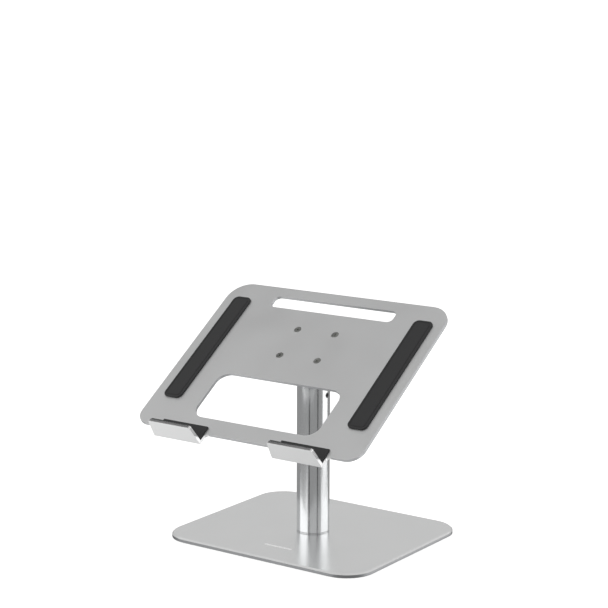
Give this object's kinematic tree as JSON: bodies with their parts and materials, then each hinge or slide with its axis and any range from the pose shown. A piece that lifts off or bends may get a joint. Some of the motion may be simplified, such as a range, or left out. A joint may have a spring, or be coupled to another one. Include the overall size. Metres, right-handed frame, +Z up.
{
  "type": "laptop stand",
  "caption": "Desk stand for a laptop: flat rounded base plate, round column that swivels on it, and a tilting sheet tray with upturned front hooks and silicone pads.",
  "frame": {"origin": "on the desk, under the middle of the whole stand's outline at rest", "axes": "+Z up, the hooks at the front towards -Y, +X to the right seen from the front"},
  "size_m": [0.27, 0.2478, 0.2439],
  "materials": {
    "satin_aluminium": "satin, fine bead-blasted and clear anodised",
    "brushed_aluminium": "fine satin drawn tube, clear anodised",
    "zinc_steel": "bright zinc plated",
    "black_steel": "satin black coating",
    "nylon": "natural nylon",
    "silicone": "matt black silicone",
    "foot_rubber": "matt dark grey rubber"
  },
  "bodies": {
    "base": {"base_plate": "satin_aluminium", "foot_front_left": "foot_rubber", "foot_front_right": "foot_rubber", "foot_back_left": "foot_rubber", "foot_back_right": "foot_rubber", "pivot_bolt": "zinc_steel", "swivel_washer": "brushed_aluminium", "swivel_top_washer": "nylon", "swivel_disc_spring": "zinc_steel", "pivot_nut": "zinc_steel"},
    "column": {"column_tube": "brushed_aluminium", "column_foot_plug": "zinc_steel", "column_head": "satin_aluminium", "head_grub_left": "black_steel", "head_grub_right": "black_steel"},
    "tray": {"tray": "satin_aluminium", "tray_bracket": "black_steel", "tray_screw_front_left": "zinc_steel", "tray_screw_front_right": "zinc_steel", "tray_screw_back_left": "zinc_steel", "tray_screw_back_right": "zinc_steel", "hinge_bolt": "black_steel", "hinge_washer": "zinc_steel", "hinge_disc_spring": "zinc_steel", "hinge_nut": "zinc_steel", "friction_washer_left": "nylon", "friction_washer_right": "nylon", "tray_strip_left": "silicone", "tray_strip_right": "silicone", "hook_pad_left": "silicone", "hook_pad_right": "silicone"}
  },
  "joints": [
    {"name": "column_swivel", "type": "hinge", "parent": "base", "child": "column", "pos_m": [0, 0.02141, 0.0061], "axis": [0, 0, 1], "continuous": true},
    {"name": "tray_tilt", "type": "hinge", "parent": "column", "child": "tray", "pos_m": [0, 0.02141, 0.1851], "axis": [1, 0, 0], "range_deg": [-34, 11]}
  ]
}
